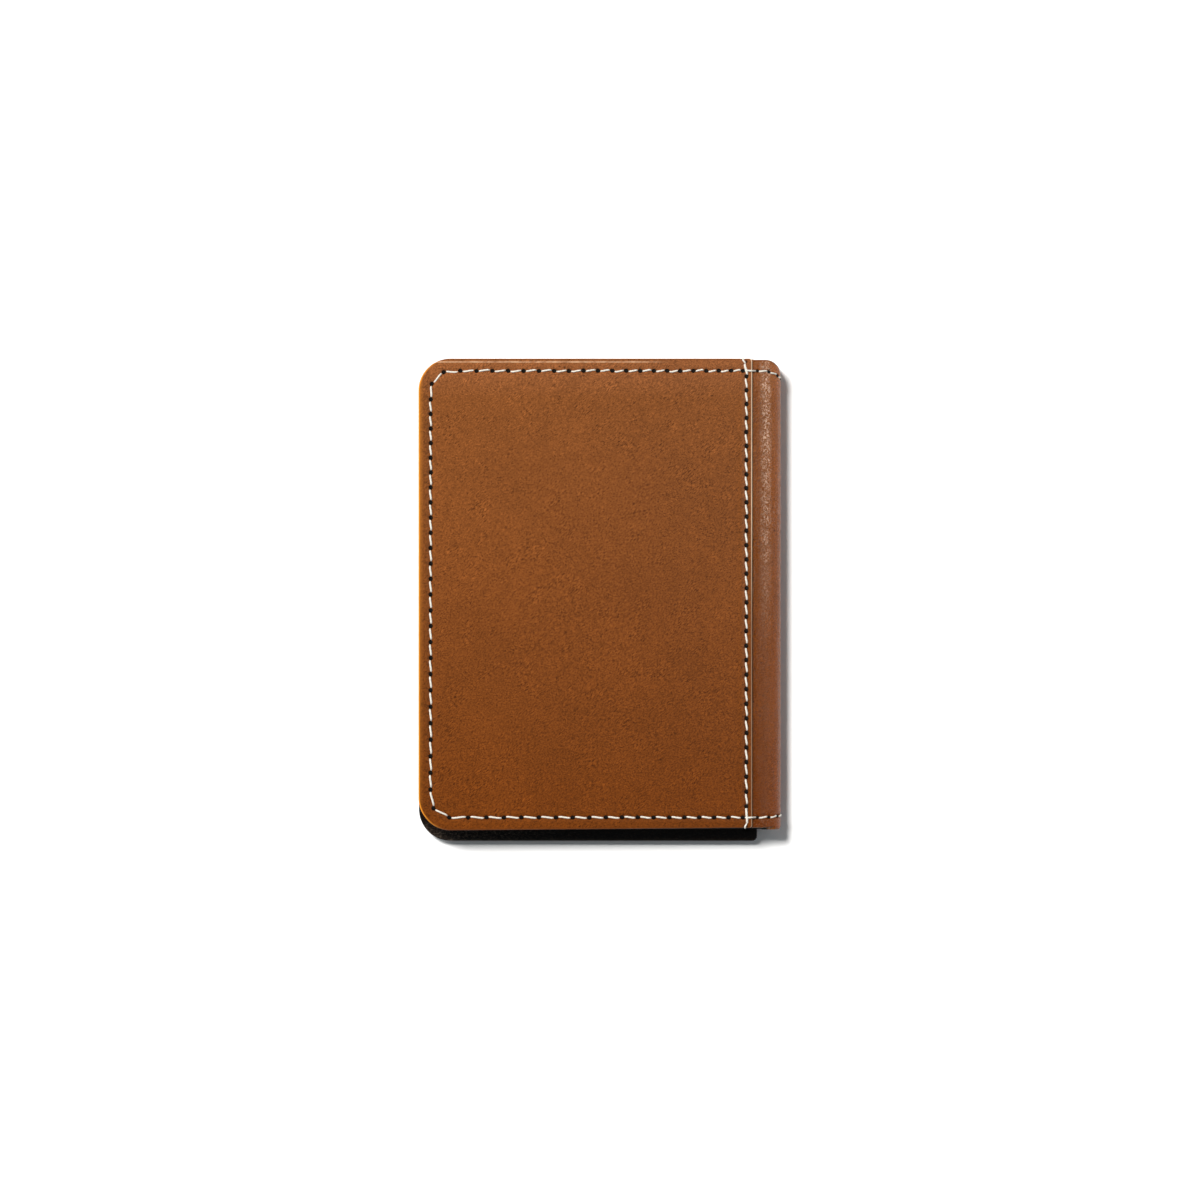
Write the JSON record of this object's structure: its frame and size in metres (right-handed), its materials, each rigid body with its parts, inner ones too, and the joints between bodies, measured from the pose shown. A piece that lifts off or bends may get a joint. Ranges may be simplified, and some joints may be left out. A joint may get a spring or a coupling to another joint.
{
  "type": "bifold wallet",
  "caption": "Closed two-leaf leather wallet with a round stitched fold, sewn outer panels, inner card pockets, a windowed pocket and a folded-cash pocket.",
  "frame": {"origin": "centre of the closed wallet's bounding box, on the surface that its back leaf lies on", "axes": "+X from the free edges to the fold, +Y towards the closed head of the pockets (their mouths face -Y), +Z from the back leaf up to the front leaf"},
  "size_m": [0.0816, 0.1086, 0.0129],
  "materials": {
    "tan_leather": "smooth, low sheen",
    "black_leather": "smooth, low sheen",
    "black_lining": "thin lining leather, matt",
    "white_thread": "waxed thread",
    "black_thread": "waxed thread",
    "window_film": "clear, gloss"
  },
  "bodies": {
    "back_leaf": {"back_panel": "tan_leather", "back_cover": "tan_leather", "back_lining": "black_lining", "cash_panel": "black_leather", "cash_pocket_welt": "black_leather", "back_slot_a_welt": "black_leather", "back_card_slot_a": "black_leather", "back_slot_b_welt": "black_leather", "back_card_slot_b": "black_leather", "back_edge_stitches": "white_thread", "back_fold_stitches": "white_thread", "back_inner_stitches": "black_thread", "back_stop_stitches": "black_thread"},
    "spine_1": {"spine_leather_1": "tan_leather", "spine_lining_1": "black_lining", "spine_stitches_1": "white_thread"},
    "spine_2": {"spine_leather_2": "tan_leather", "spine_lining_2": "black_lining", "spine_stitches_2": "white_thread"},
    "spine_3": {"spine_leather_3": "tan_leather", "spine_lining_3": "black_lining", "spine_stitches_3": "white_thread"},
    "spine_4": {"spine_leather_4": "tan_leather", "spine_lining_4": "black_lining", "spine_stitches_4": "white_thread"},
    "spine_5": {"spine_leather_5": "tan_leather", "spine_lining_5": "black_lining", "spine_stitches_5": "white_thread"},
    "front_leaf": {"front_panel": "tan_leather", "front_cover": "tan_leather", "front_lining": "black_lining", "front_slot_welt": "black_leather", "front_card_slot": "black_leather", "id_pocket_welt": "black_leather", "id_window_frame": "black_leather", "id_window_film": "window_film", "front_edge_stitches": "white_thread", "front_fold_stitches": "white_thread", "front_inner_stitches": "black_thread", "front_stop_stitches": "black_thread"}
  },
  "joints": [
    {"name": "fold_back", "type": "hinge", "parent": "back_leaf", "child": "spine_3", "pos_m": [0.03927, 0, 0.00263], "axis": [0, 1, 0], "range_deg": [0, 90]},
    {"name": "fold_front", "type": "hinge", "parent": "spine_3", "child": "front_leaf", "pos_m": [0.03927, 0, 0.01027], "axis": [0, 1, 0], "range_deg": [0, 90]},
    {"name": "bend_1", "type": "hinge", "parent": "back_leaf", "child": "spine_1", "pos_m": [0.03672, 0, 0.0017], "axis": [0, 1, 0], "range_deg": [0, 30]},
    {"name": "bend_2", "type": "hinge", "parent": "spine_3", "child": "spine_2", "pos_m": [0.0402, 0, 0.00518], "axis": [0, -1, 0], "range_deg": [0, 30]},
    {"name": "bend_4", "type": "hinge", "parent": "spine_3", "child": "spine_4", "pos_m": [0.0402, 0, 0.00772], "axis": [0, 1, 0], "range_deg": [0, 30]},
    {"name": "bend_5", "type": "hinge", "parent": "front_leaf", "child": "spine_5", "pos_m": [0.03672, 0, 0.0112], "axis": [0, -1, 0], "range_deg": [0, 30]}
  ],
  "couplings": [
    {"joint": "fold_front", "follows": "fold_back", "ratio": 1},
    {"joint": "bend_1", "follows": "fold_back", "ratio": 0.33333},
    {"joint": "bend_2", "follows": "fold_back", "ratio": 0.33333},
    {"joint": "bend_4", "follows": "fold_back", "ratio": 0.33333},
    {"joint": "bend_5", "follows": "fold_back", "ratio": 0.33333}
  ]
}
